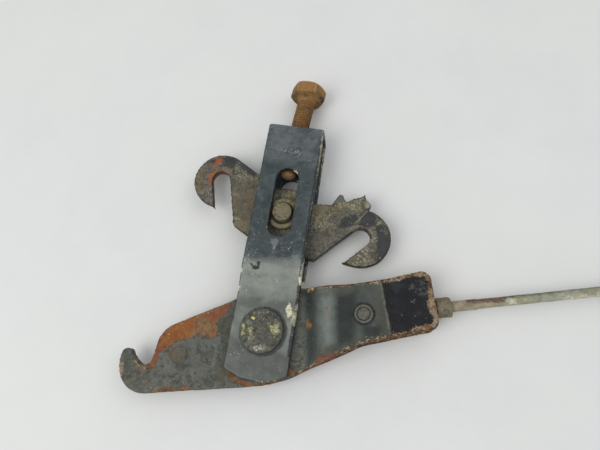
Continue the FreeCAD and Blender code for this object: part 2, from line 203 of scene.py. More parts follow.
def grained(node, voxel):
    """The CAD node's shape as a fine even mesh that knows its sharp edges."""
    bm = welded(node)
    coarse = bpy.data.meshes.new(node + "_coarse")
    bm.to_mesh(coarse)
    bm.free()
    holder = linked(node + "_holder", coarse)
    remesh = holder.modifiers.new("grain", "REMESH")
    remesh.mode = "VOXEL"
    remesh.voxel_size = voxel * MM
    graph = bpy.context.evaluated_depsgraph_get()
    fine = bpy.data.meshes.new_from_object(holder.evaluated_get(graph))
    bpy.data.objects.remove(holder)
    bpy.data.meshes.remove(coarse)
    fine.materials.clear()
    measure_edges(fine, node)
    if node.startswith("lever_") or node.endswith("_ply_rivet"):
        hide_rivets(fine)
    return fine


def put_field(mesh, name, values):
    """Stores one number per vertex, for the materials to read."""
    field = mesh.attributes.get(name) or mesh.attributes.new(name, "FLOAT", "POINT")
    field.data.foreach_set("value", values)


def get_field(mesh, name):
    """Reads one number per vertex back."""
    values = np.empty(len(mesh.vertices))
    mesh.attributes[name].data.foreach_get("value", values)
    return values


def inside_by(points, outline):
    """How far inside an outline each point is; negative outside."""
    corners = np.array(outline, dtype=float)
    nearest = np.full(len(points), 1e9)
    inside = np.zeros(len(points), dtype=bool)
    for here, there in zip(corners, np.roll(corners, -1, axis=0)):
        run = there - here
        along = np.clip(((points - here) @ run) / (run @ run), 0, 1)
        away = points - here - along[:, None] * run
        nearest = np.minimum(nearest, np.hypot(away[:, 0], away[:, 1]))
        if here[1] != there[1]:
            crossing = (here[1] > points[:, 1]) != (there[1] > points[:, 1])
            at = here[0] + (points[:, 1] - here[1]) / (there[1] - here[1]) * run[0]
            inside ^= crossing & (points[:, 0] < at)
    return np.where(inside, nearest, -nearest)


def put_patches(mesh, patches, place):
    """Stores how far inside each finish's nearest outline, drawn in place's XY, a vertex lies."""
    points = local_rows(mesh, place)[:, :2]
    for name, outlines in patches.items():
        put_field(mesh, name, np.max([inside_by(points, outline) for outline in outlines], axis=0))


def roughened(mesh, size, depth, seed, octaves=4, mask=None):
    """Presses noise into the surface, down to a depth, where the mask is 1."""
    rows, out = positions(mesh), positions(mesh, "normal")
    shift = Vector((seed, seed * 0.7, seed * 1.3))
    scale = 1 / (size * MM)
    values = np.array([noise.fractal(Vector(row) * scale + shift, 0.6, 2.1, octaves,
                                     noise_basis="PERLIN_NEW") for row in rows])
    press = np.clip(0.5 - 0.5 * values, 0, 1) * depth * MM
    if mask is not None:
        press = press * mask
    put_positions(mesh, rows - out * press[:, None])


def rounded_off(mesh, radius, depth):
    """Wears the sharp edges round."""
    near = np.exp(-(get_field(mesh, "edge") / radius) ** 2)
    put_positions(mesh, positions(mesh) - positions(mesh, "normal") * (near * depth * MM)[:, None])


def smooth(mesh):
    """Smooth shading all over."""
    mesh.polygons.foreach_set("use_smooth", [True] * len(mesh.polygons))
    mesh.update()


def lathe(name, rings, sides, place):
    """A closed mesh through rings of (height, radius by angle), set upright in place."""
    mesh = bpy.data.meshes.new(name)
    angles = [2 * math.pi * step / sides for step in range(sides)]
    verts = [(radius(angle) * math.cos(angle), radius(angle) * math.sin(angle), height)
             for height, radius in rings for angle in angles]
    faces = []
    for ring in range(len(rings) - 1):
        for step in range(sides):
            ahead = (step + 1) % sides
            low, high = ring * sides, (ring + 1) * sides
            faces.append((low + step, low + ahead, high + ahead, high + step))
    last = len(verts) - sides
    for start, flip in ((0, True), (last, False)):
        middle = len(verts)
        verts.append((0, 0, verts[start][2]))
        for step in range(sides):
            pair = [start + step, start + (step + 1) % sides]
            faces.append(tuple(pair[::-1] if flip else pair) + (middle,))
    mesh.from_pydata([Vector(vert) * MM for vert in verts], [], faces)
    mesh.transform(place)
    smooth(mesh)
    return mesh


def thread(radius, depth, pitch, low=-math.inf, high=math.inf):
    """The radius of a screw thread at a height and angle; it fades out within a turn of its ends."""
    def at(height, angle):
        """The radius there."""
        turn = (height / pitch - angle / (2 * math.pi)) % 1.0
        groove = max(0.0, 1 - abs(turn - 0.5) / GROOVE_HALF)
        fade = min(1.0, max(0.0, min(high - height, height - low) / pitch))
        return radius - depth * min(1.0, groove * GROOVE_FLAT) * fade

    return at


def ring_at(height, radius):
    """One ring of a lathe mesh; its radius is a number, or depends on height and angle."""
    return height, lambda angle: radius(height, angle) if callable(radius) else radius


# -------- finishes
def srgb(red, green, blue):
    """A colour as it is seen on a screen, 0 to 255, in Blender's linear values."""
    return tuple((part / 255 / 12.92 if part < 11 else ((part / 255 + 0.055) / 1.055) ** 2.4)
                 for part in (red, green, blue)) + (1.0,)


class Finish:
    """A layered procedural finish.  Each coat hides what is below it where its mask is 1."""

    def __init__(self, name, palette, grain, rough, detail=6):
        self.material = bpy.data.materials.new(name)
        self.material.use_nodes = True
        self.tree = self.material.node_tree
        self.shader = self.tree.nodes["Principled BSDF"]
        self.place = self.node("ShaderNodeTexCoord").outputs["Object"]
        self.colour = self.shades(palette, self.noise(grain, detail))
        self.rough = rough
        self.height = None

    def node(self, kind, inputs=None, **settings):
        """Adds a node, sets its properties, and sets or links its inputs."""
        made = self.tree.nodes.new(kind)
        for key, value in settings.items():
            setattr(made, key, value)
        for key, value in (inputs or {}).items():
            if isinstance(value, bpy.types.NodeSocket):
                self.tree.links.new(value, made.inputs[key])
            else:
                made.inputs[key].default_value = value
        return made

    def moved_place(self, seed=0.0, stretch=(1, 1, 1), turn=0.0):
        """The object's own coordinates, shifted, turned about Z and stretched."""
        return self.node("ShaderNodeMapping", {
            "Vector": self.place, "Location": (seed, seed * 0.7, seed * 1.3),
            "Rotation": (0, 0, math.radians(turn)), "Scale": stretch}).outputs[0]

    def noise(self, size, detail=5, rough=0.6, seed=0.0, stretch=(1, 1, 1), turn=0.0, swirl=0.0):
        """Cloudy noise from 0 to 1 whose largest lumps are about size mm."""
        return self.node("ShaderNodeTexNoise", {
            "Vector": self.moved_place(seed, stretch, turn), "Scale": 1 / (size * MM),
            "Detail": detail, "Roughness": rough, "Distortion": swirl}).outputs[0]

    def centred(self, *cloud, **more):
        """Cloudy noise with 0 in its middle."""
        return self.math("SUBTRACT", self.noise(*cloud, **more), 0.5)

    def math(self, kind, one, two=0.0):
        """Arithmetic on numbers or sockets."""
        return self.node("ShaderNodeMath", {0: one, 1: two}, operation=kind).outputs[0]

    def step(self, value, at, soft, down=False):
        """0 below a value, 1 above it, over a soft band; the other way up if down."""
        ends = (1.0, 0.0) if down else (0.0, 1.0)
        return self.node("ShaderNodeMapRange", {
            "Value": value, "From Min": at - soft, "From Max": at + soft,
            "To Min": ends[0], "To Max": ends[1]}, interpolation_type="SMOOTHSTEP").outputs[0]

    def blots(self, size, level, soft, seed=0.0, **more):
        """1 on irregular blots of about size mm; a higher level leaves fewer."""
        return self.step(self.noise(size, 7, 0.7, seed, **more), level, soft)

    def flecks(self, size, level, seed):
        """1 on small torn flecks, which crowd in some places and are rare in others."""
        crowd = self.math("MULTIPLY", self.centred(size * 6, 3, 0.5, seed + 3), 0.5)
        return self.step(self.math("ADD", self.noise(size, 4, 0.75, seed), crowd), level, 0.03)

    def veins(self, size, width, seed, swirl=0.8):
        """1 along thin wandering lines."""
        away = self.math("ABSOLUTE", self.centred(size, 4, 0.6, seed, swirl=swirl))
        return self.step(away, width, width * 0.6, down=True)

    def field(self, name):
        """A number stored at the vertices."""
        return self.node("ShaderNodeAttribute", attribute_name=name).outputs["Fac"]

    def wandering(self, field, swing, swings):
        """A stored distance whose level lines wander by about swing mm, along centred noise."""
        return self.math("ADD", self.field(field), self.math("MULTIPLY", swings, NOISE_SPREAD * swing))

    def patch(self, name, ragged, size, soft, at=0.0):
        """1 inside the stored outlines, whose borders wander by about ragged mm."""
        return self.step(self.wandering(name, ragged, self.centred(size, 7, 0.7)), at, soft)

    def rim(self, width, ragged, size, seed=0.0):
        """1 along the sharp edges, to a width that wanders by about ragged mm."""
        away = self.wandering("edge", ragged, self.centred(size, 6, 0.65, seed))
        return self.step(away, width, 0.15, down=True)

    def sides(self):
        """1 on the faces that stand upright, away from the flat front and back."""
        normal = self.node("ShaderNodeTexCoord").outputs["Normal"]
        up = self.node("ShaderNodeSeparateXYZ", {0: normal}).outputs["Z"]
        return self.step(self.math("ABSOLUTE", up), *UPRIGHT, down=True)

    def shades(self, palette, value):
        """Colours spread over noise: the middle part of its range covers the whole palette."""
        ramp = self.node("ShaderNodeValToRGB", {"Fac": value})
        stops = ramp.color_ramp.elements
        while len(stops) < len(palette):
            stops.new(0.5)
        for index, colour in enumerate(palette):
            stops[index].position = CLOUD_LOW + CLOUD_SPAN * index / max(1, len(palette) - 1)
            stops[index].color = srgb(*colour)
        return ramp.outputs[0]

    def coat(self, masks, palette, grain, rough, height=0.0, detail=6):
        """One more layer where all its masks are 1, with its own look and height; numbers thin it."""
        mask, *others = masks if isinstance(masks, tuple) else (masks,)
        for other in others:
            mask = self.math("MULTIPLY", mask, other)
        over = self.shades(palette, self.noise(grain, detail, 0.65, 3.0))
        self.colour = self.node("ShaderNodeMix", {0: mask, 6: self.colour, 7: over},
                                data_type="RGBA").outputs[2]
        self.rough = self.node("ShaderNodeMix", {0: mask, 2: self.rough, 3: rough}).outputs[0]
        if height:
            self.raise_by(self.math("MULTIPLY", mask, height))

    def raise_by(self, height):
        """Adds to the relief, in mm."""
        self.height = height if self.height is None else self.math("ADD", self.height, height)

    def grain(self, size, depth, detail=6, seed=7.0):
        """Fine relief all over."""
        self.raise_by(self.math("MULTIPLY", self.noise(size, detail, 0.7, seed), depth))

    def done(self, specular):
        """Joins everything to the shader and returns the material."""
        self.tree.links.new(self.colour, self.shader.inputs["Base Color"])
        self.tree.links.new(self.rough, self.shader.inputs["Roughness"])
        self.shader.inputs["Specular IOR Level"].default_value = specular
        bump = self.node("ShaderNodeBump", {"Height": self.height, "Distance": MM, "Strength": 1.0})
        self.tree.links.new(bump.outputs[0], self.shader.inputs["Normal"])
        return self.material


RUST = [(82, 58, 42), (113, 80, 54), (136, 95, 62), (104, 74, 52)]
DARK_RUST = [(56, 42, 34), (84, 62, 46), (106, 78, 54)]
EDGE_RUST = [(84, 62, 46), (118, 84, 56), (140, 98, 60)]
BARE = [(92, 80, 66), (122, 108, 90), (150, 136, 116), (106, 92, 74)]
PALE = [(136, 134, 120), (176, 174, 158), (206, 204, 190)]
OCHRE = [(132, 104, 58), (168, 138, 82), (190, 166, 112)]
GRIME = [(72, 70, 52), (96, 92, 64), (118, 112, 80)]
# dark sooty colours, used for real dirt and also for painted shade
SOOT_AND_SHADE = [(20, 22, 22), (34, 36, 36), (46, 48, 46)]


def lever_finish(name):
    """Worn grey-green skin on the hook end, glossy dark paint on the box end, painted very dark as shade
    where it bends down at its end, rust at the edges.
    """
    skin = Finish(name, [(56, 58, 53), (74, 76, 70), (91, 91, 83), (70, 71, 65)], 7, 0.55, 8)
    coat, patch, blots, flecks, rim = skin.coat, skin.patch, skin.blots, skin.flecks, skin.rim
    coat((blots(12, 0.52, 0.06, 2), 0.6), [(80, 86, 85), (96, 100, 98)], 3, 0.5)
    coat((blots(4, 0.56, 0.05, 11), 0.6), [(78, 74, 60), (96, 90, 72)], 2, 0.7)
    coat((blots(2.2, 0.57, 0.05, 15), 0.7), [(40, 42, 40), (52, 54, 50)], 1.5, 0.6, -0.05)
    coat((skin.veins(5, 0.014, 25, 1.5), blots(9, 0.48, 0.1, 5), 0.5), [(112, 116, 110), (128, 130, 122)],
         1.5, 0.5)
    coat((patch("tinge", 1.4, 3, 1.4), 0.6), [(84, 74, 56), (100, 84, 62), (92, 68, 48)], 2, 0.8)
    coat((patch("dim", 1.2, 4, 2), blots(3, 0.46, 0.1, 61), 0.7),
         [(46, 49, 41), (60, 62, 52), (74, 74, 62)], 2.4, 0.5)
    coat(patch("gloss", 0.5, 4, 1.2), [(54, 60, 59), (68, 74, 71), (82, 86, 82)], 14, 0.36, 0.05, 5)
    coat((patch("shadow", 0.4, 6, 2.6), 0.8), [(26, 31, 31), (36, 42, 41)], 8, 0.36)
    # painted highlight on the joggle's upper bend, where it faces the light
    coat((patch("sheen", 0.6, 6, 3.2), 0.8), [(102, 109, 106), (124, 129, 124)], 8, 0.36)
    coat((patch("wear", 0.9, 5, 1.6), blots(3, 0.49, 0.1, 21), 0.65),
         [(56, 56, 46), (76, 73, 58), (64, 61, 49)], 2.4, 0.55)
    # painted shade: the box end's last stretch bends down away from the light and is painted very dark;
    # blots lighten it a little below
    coat(patch("black", 0.4, 2.5, 0.9), [(6, 7, 9), (10, 11, 15), (20, 23, 26)], 9, 0.4, 0.06, 5)
    coat((patch("black", 0.3, 2.5, 0.5), blots(9, 0.58, 0.08, 47), 0.35), [(44, 48, 50), (60, 62, 62)], 3,
         0.4)
    coat((patch("smudge", 1, 2.5, 0.6), blots(1.6, 0.52, 0.06, 57), 0.6), [(66, 70, 68), (98, 100, 94)],
         1.4, 0.5)
    # painted highlight along the outer corner of the bend near the box end
    coat((patch("crease_highlight", 0.3, 3, 0.35), 0.6), [(96, 96, 84), (134, 128, 108)], 1.6, 0.5)
    margin = patch("margin", 0.4, 2, 0.2)
    coat((margin, rim(1.1, 0.75, 3.4)), BARE, 1.2, 0.8, -0.05)
    bare = patch("bare", 0.6, 2.2, 0.12)
    coat(bare, BARE, 1.3, 0.8, -0.05)
    coat((bare, blots(2.4, 0.53, 0.03, 14)), EDGE_RUST, 1.2, 0.85)
    coat((bare, blots(1.6, 0.6, 0.03, 54), 0.8), [(44, 40, 36), (60, 54, 46)], 1.2, 0.85, -0.05)
    coat((margin, rim(0.9, 0.9, 2.4, 5)), DARK_RUST, 1, 0.85, -0.04)
    coat((margin, rim(2, 0.8, 2.4), flecks(1.4, 0.6, 4)), OCHRE, 1, 0.8)
    rust = patch("rust", 0.7, 3, 0.3)
    coat(rust, RUST, 3, 0.85, -0.05, 8)
    coat((rust, blots(2.4, 0.54, 0.05, 41), 0.75), [(62, 54, 44), (82, 70, 54)], 1.2, 0.85, -0.04)
    coat((patch("bright", 0.8, 4, 1.6), 0.75), [(116, 70, 36), (138, 84, 44), (126, 76, 40)], 4, 0.85)
    coat((rust, patch("faded", 0.8, 3, 1.5), blots(2, 0.48, 0.06, 63), 0.65),
         [(98, 84, 64), (124, 102, 78), (140, 116, 86)], 1.6, 0.85)
    coat((patch("red", 0.8, 3, 0.8), 0.7), [(110, 62, 44), (128, 74, 50)], 2.4, 0.85)
    coat((rust, flecks(0.9, 0.66, 44)), OCHRE, 1, 0.8, 0.03)
    # painted shade: a dark ring of contact shadow around the spacer rivet
    coat((patch("painted_shade", 0.25, 2, 0.3), 0.9), SOOT_AND_SHADE, 2, 0.6)
    coat((patch("ring", 0.1, 2, 0.3), blots(4, 0.5, 0.1, 45), 0.4), SOOT_AND_SHADE, 2, 0.6)
    # painted shade: dark outlines along the sharp edges, for the shaded thin sides
    coat((rim(0.25, 0.3, 2.4, 9), 0.85), [(28, 28, 26), (80, 76, 66), (40, 38, 34)], 1, 0.6)
    coat(flecks(1, 0.735, 8), PALE, 0.6, 0.6)
    skin.grain(0.9, 0.07)
    skin.grain(0.25, 0.02, seed=12)
    return skin.done(0.24)


def yoke_finish(name):
    """Blue-black paint, chalky where it was folded in and painted lighter there as a highlight on the
    fold's sloping part, with painted shade on its sides, edges and around the rivet, scuffs and chipped
    edges.
    """
    paint = Finish(name, [(44, 53, 56), (54, 63, 66), (66, 74, 76)], 20, 0.38, 5)
    coat, patch, blots = paint.coat, paint.patch, paint.blots
    flecks, rim, veins = paint.flecks, paint.rim, paint.veins
    coat((blots(8, 0.56, 0.08, 4, swirl=1), 0.6), [(66, 75, 77), (80, 88, 88)], 4, 0.45)
    coat((blots(5, 0.56, 0.06, 14), 0.6), [(32, 39, 43), (40, 47, 50)], 4, 0.32)
    coat((patch("top", 1.5, 9, 4), blots(10, 0.45, 0.1, 38), 0.7),
         [(76, 82, 87), (98, 104, 107), (84, 90, 93)], 5, 0.42)
    worn = patch("worn", 1.2, 9, 2.4)
    coat(worn, [(96, 101, 97), (108, 112, 107), (120, 124, 118)], 9, 0.42)
    # painted highlight on the sloping part of the fold, which faces the light
    coat((patch("slope_highlight", 1.2, 9, 3), 0.8), [(116, 121, 115), (132, 137, 129)], 8, 0.42)
    coat((patch("foot", 1.5, 8, 3), 0.8), [(56, 60, 57), (70, 74, 70), (84, 87, 82)], 5, 0.45)
    coat((worn, blots(6, 0.56, 0.1, 33, stretch=(0.5, 1.2, 1), turn=-8), 0.45),
         [(74, 79, 76), (86, 90, 86)], 3, 0.5)
    coat((patch("dull", 1, 5, 2), 0.6), [(58, 62, 59), (70, 74, 70)], 4, 0.5)
    coat((veins(6, 0.008, 17, 0.5), blots(12, 0.54, 0.05, 18), 0.5), [(86, 94, 96), (108, 114, 114)], 2,
         0.5)
    coat((patch("splat", 0.8, 2, 0.6), 0.7), [(96, 102, 106), (122, 126, 128)], 1.2, 0.55)
    scuff = patch("scuff", 0.6, 2, 0.5)
    coat((scuff, 0.5), [(36, 41, 44), (46, 52, 54)], 1.5, 0.5, -0.06)
    coat((scuff, veins(2.2, 0.024, 27), 0.85), [(124, 130, 130), (160, 162, 158)], 1, 0.6, 0.06)
    coat(patch("flaked", 0.35, 2, 0.2), [(24, 28, 31), (34, 39, 41)], 2, 0.4, -0.08)
    # painted shade on the walls of the pin's opening through the strap
    coat((patch("slot_wall_shade", 0.1, 2, 0.2, at=-0.35), 0.9), SOOT_AND_SHADE, 2, 0.5)
    # painted shade: contact shadow around the pivot rivet's head, heavier at its right and bottom
    coat((patch("painted_shade", 0.25, 2, 0.4), 0.8), SOOT_AND_SHADE, 2, 0.5)
    # painted shade: dark outlines along the sharp edges, where the thin sides turn away from the light
    coat((rim(0.5, 0.3, 5, 6), 0.9), [(18, 21, 24), (46, 51, 52), (24, 28, 30)], 1.6, 0.45)
    # painted shade on the upright side faces
    coat((paint.sides(), 0.9), [(13, 16, 19), (24, 28, 31), (36, 41, 43)], 4, 0.4)
    # painted shade on the right side band, which faces away from the light; the pale chips of the next
    # coat are real
    coat((patch("right_rim", 0.15, 4, 0.3), 0.85), [(14, 18, 21), (28, 33, 36)], 3, 0.4)
    coat((patch("right_rim", 0.15, 4, 0.3), flecks(0.9, 0.67, 64)), PALE, 0.8, 0.6)
    coat((patch("right_edge", 0.6, 4, 0.3), blots(2.6, 0.44, 0.04, 12)),
         [(92, 90, 76), (142, 138, 116), (184, 180, 158)], 1.2, 0.7, -0.05)
    coat((rim(0.6, 0.3, 2.5, 2), flecks(1.2, 0.65, 14)), PALE, 0.8, 0.6, -0.05)
    coat((patch("dust", 1.5, 4, 2), flecks(0.9, 0.645, 71)),
         [(120, 127, 130), (160, 167, 168), (196, 200, 200)], 0.8, 0.6, 0.02)
    coat(patch("chip", 0.5, 1.6, 0.12), [(140, 138, 114), (192, 190, 164), (222, 220, 202)], 1, 0.7,
         -0.06)
    coat(flecks(0.8, 0.7, 5), [(130, 136, 138), (172, 178, 178), (200, 204, 202)], 0.8, 0.6, 0.02)
    paint.grain(2.5, 0.05)
    paint.grain(0.35, 0.015, seed=19)
    return paint.done(0.42)


def hook_finish(name):
    """Bare weathered steel: brown-grey, speckled with grime, orange at the left seat."""
    steel = Finish(name, [(54, 53, 47), (80, 77, 67), (102, 98, 86), (70, 68, 60)], 4, 0.62, 9)
    coat, patch, blots, flecks = steel.coat, steel.patch, steel.blots, steel.flecks
    coat((blots(8, 0.52, 0.06, 6), 0.6), [(84, 76, 62), (104, 95, 78)], 3, 0.65)
    coat((blots(6, 0.55, 0.04, 16), 0.75), [(66, 70, 70), (80, 83, 80)], 4, 0.55)
    coat((patch("tan", 1, 4, 1.6), 0.7), [(92, 78, 58), (112, 92, 66), (104, 82, 58)], 3, 0.7)
    coat((blots(1.5, 0.55, 0.05, 9), 0.65), [(38, 38, 35), (54, 52, 47)], 1.2, 0.6, -0.08)
    coat((flecks(0.9, 0.6, 29), 0.65), [(118, 114, 96), (156, 152, 134), (136, 132, 114)], 0.8, 0.7, 0.06)
    coat((patch("smooth", 1.2, 4, 1.5), blots(3, 0.44, 0.08, 59), 0.75),
         [(76, 70, 56), (96, 86, 68), (108, 98, 80)], 4, 0.6)
    crust = patch("grime", 1.2, 4, 1)
    coat((crust, blots(1.5, 0.5, 0.05, 13), 0.75), GRIME, 1.2, 0.8, 0.08)
    coat((crust, flecks(0.8, 0.58, 19), 0.7), [(140, 136, 104), (178, 172, 142)], 0.8, 0.8, 0.06)
    coat((patch("light", 0.5, 4, 0.5), 0.9), [(98, 90, 74), (118, 110, 90), (106, 94, 74)], 3, 0.6)
    coat((patch("dark", 0.7, 3.5, 0.4), 0.92), [(34, 36, 39), (44, 46, 49), (54, 56, 58)], 5, 0.45)
    coat((patch("dark", 0.7, 3.5, 0.4), flecks(0.9, 0.69, 49), 0.8), PALE, 1, 0.7, 0.04)
    coat((patch("block", 0.4, 2, 0.4), 0.85), [(76, 84, 86), (98, 106, 106)], 2.5, 0.5)
    coat((patch("facet", 0.3, 2, 0.3), 0.85), [(124, 122, 108), (150, 148, 134)], 1.6, 0.6)
    coat((patch("fleck", 0.9, 1.8, 0.6), blots(1.1, 0.52, 0.04, 39), 0.75),
         [(116, 110, 88), (146, 140, 114), (178, 174, 152)], 0.9, 0.7, 0.06)
    coat((patch("line", 0.12, 2, 0.12), 0.6), [(112, 108, 90), (150, 144, 122)], 1, 0.6, 0.05)
    coat((patch("bright", 0.6, 3, 1.5), 0.8), [(122, 72, 44), (158, 88, 48), (138, 78, 44)], 2.4, 0.8)
    # painted shade on the upright side faces
    coat((steel.sides(), 0.6), [(30, 30, 28), (46, 45, 41), (66, 62, 54)], 2.5, 0.55)
    # painted shade: dark outlines along the sharp edges, for the shaded thin sides
    coat((steel.rim(0.6, 0.3, 3, 6), 0.92), [(20, 20, 18), (32, 31, 28), (74, 70, 60)], 2.6, 0.5)
    coat(flecks(0.8, 0.7, 5), PALE, 0.6, 0.6, 0.03)
    steel.grain(0.9, 0.18, 8)
    return steel.done(0.35)


def rust_finish(name, palette, crust):
    """Even rust over a whole fastener, with painted shade and highlights on a bolt head's facets and
    edges where those patches are stored.
    """
    rust = Finish(name, palette, 3, 0.75, 8)
    coat, patch, blots = rust.coat, rust.patch, rust.blots
    coat((blots(4, 0.54, 0.06, 5), 0.7), [(116, 88, 48), (134, 104, 58)], 1.8, 0.8)
    coat((blots(2, 0.58, 0.04, 8), 0.8), DARK_RUST, 1.2, 0.9, -0.04)
    coat((patch("groove", 0, 2, 0.25, at=0.62), 0.7), [(94, 71, 45), (112, 85, 54)], 1, 0.9)
    coat((rust.rim(0.4, 0.2, 2), blots(3, 0.5, 0.1, 18), 0.7), [(150, 116, 72), (168, 132, 84)], 1.2, 0.6)
    # painted shade on the head's facets that face away from the light
    coat((patch("shaded_facet", 0.3, 2, 0.3), 0.7), [(82, 70, 46), (100, 84, 54)], 1.6, 0.8)
    # painted highlight on the head's lit front facet
    coat((patch("lit_facet", 0.4, 2, 0.8), 0.7), [(132, 92, 48), (152, 106, 58)], 2, 0.7)
    # painted highlights along the head's corners and rim
    coat((patch("edge_highlight", 0.15, 2, 0.25), 0.7), [(150, 122, 84), (172, 146, 104)], 1.4, 0.6)
    # painted shade: shadow at the shank's base and under the head
    coat((patch("painted_shade", 0.2, 2, 0.3), 0.8), SOOT_AND_SHADE, 2, 0.8)
    coat(rust.flecks(0.8, 0.68, 3), [(150, 122, 86), (172, 142, 104)], 0.8, 0.8, 0.03)
    rust.grain(0.8, crust, 8)
    return rust.done(0.35)


def rivet_finish(name):
    """Dark pitted rivet head with pale and yellow flecks of old paint."""
    steel = Finish(name, [(40, 42, 37), (58, 60, 53), (78, 78, 69), (52, 53, 47)], 3, 0.5, 9)
    coat, patch, blots = steel.coat, steel.patch, steel.blots
    coat((blots(2.6, 0.56, 0.04, 4), 0.8), [(92, 92, 80), (116, 114, 100)], 1.4, 0.6, 0.05)
    coat((blots(1.8, 0.58, 0.04, 24), 0.8), [(34, 36, 32), (46, 46, 42)], 1.2, 0.6, -0.08)
    coat((patch("fleck", 0.7, 1.8, 0.5), blots(0.9, 0.47, 0.06, 31), 0.9),
         [(120, 112, 76), (164, 158, 108), (198, 194, 156)], 0.9, 0.7, 0.08)
    coat(patch("bright", 0.3, 1.2, 0.2), [(176, 172, 84), (204, 200, 116)], 0.8, 0.7, 0.06)
    coat((patch("pale", 0.7, 1.8, 0.4), blots(0.8, 0.5, 0.05, 35), 0.9), PALE, 0.8, 0.7, 0.04)
    coat((steel.flecks(0.8, 0.66, 6), 0.8), PALE, 0.7, 0.6, 0.03)
    coat((steel.rim(0.2, 0.3, 2, 3), 0.6), [(84, 84, 74), (118, 116, 100)], 1, 0.5)
    steel.grain(1.2, 0.16, 8)
    return steel.done(0.4)


def grimy_finish(name, palette, sheen=0.55, soil=0.7):
    """Oiled and dusty steel."""
    steel = Finish(name, palette, 3, sheen, 8)
    coat, patch, blots = steel.coat, steel.patch, steel.blots
    coat((blots(2.5, 0.53, 0.05, 5), soil), GRIME, 1.2, 0.7, 0.03)
    coat((blots(1.6, 0.58, 0.05, 15), 0.7), SOOT_AND_SHADE, 1.2, 0.6, -0.03)
    coat((patch("moss", 0.6, 2, 0.5), blots(1.4, 0.46, 0.05, 25)),
         [(84, 86, 56), (112, 112, 74), (134, 132, 96)], 1, 0.8, 0.05)
    # painted shade in the gaps around the cross pin, on the parts that carry these patches
    coat((patch("painted_shade", 0.15, 2, 0.3), 0.92), [(12, 12, 12), (24, 24, 22)], 1.2, 0.6)
    coat((steel.rim(0.2, 0.25, 1.6), 0.8), [(60, 56, 46), (128, 120, 98)], 0.8, 0.5)
    coat(steel.flecks(0.7, 0.7, 7), PALE, 0.6, 0.6)
    steel.grain(0.7, 0.08, 7)
    return steel.done(0.4)


def rod_finish(name):
    """Galvanised rod, tan and brown near the nut and dull grey-green along the rest."""
    zinc = Finish(name, [(114, 115, 102), (134, 135, 118), (152, 152, 132), (124, 125, 108)], 4,
                  0.55, 8)
    coat, patch, blots = zinc.coat, zinc.patch, zinc.blots
    coat((blots(5, 0.55, 0.05, 5, stretch=(0.4, 1, 1), turn=5), 0.7), [(128, 124, 92), (146, 140, 104)],
         2, 0.6)
    coat((patch("shade", 0.5, 2.5, 0.7), 0.9), [(74, 76, 58), (96, 95, 74)], 2, 0.6)
    coat((patch("shade", 0.5, 2.5, 0.9), blots(1.6, 0.55, 0.05, 15), 0.8), SOOT_AND_SHADE, 1, 0.6)
    coat(patch("tan", 0.8, 5, 1.2), [(130, 118, 98), (152, 140, 118), (166, 156, 134)], 3, 0.7)
    coat((patch("brown", 0.6, 3, 0.7), 0.85), [(58, 46, 36), (80, 62, 48), (100, 80, 62)], 1.6, 0.8)
    coat((patch("groove", 0, 2, 0.15, at=0.2), 0.3), [(72, 62, 50), (86, 76, 60)], 1, 0.9)
    coat((patch("fleck", 0.6, 1.6, 0.4), blots(1.4, 0.46, 0.05, 25)), [(176, 172, 148), (204, 202, 184)],
         0.8, 0.7)
    coat((zinc.flecks(0.9, 0.64, 5), 0.8), [(166, 164, 144), (184, 182, 162)], 0.8, 0.6)
    zinc.grain(0.8, 0.08, 7)
    return zinc.done(0.4)


def circle(x, y, radius, sides=24):
    """A round outline."""
    return [(x + radius * math.cos(2 * math.pi * side / sides),
             y + radius * math.sin(2 * math.pi * side / sides)) for side in range(sides)]


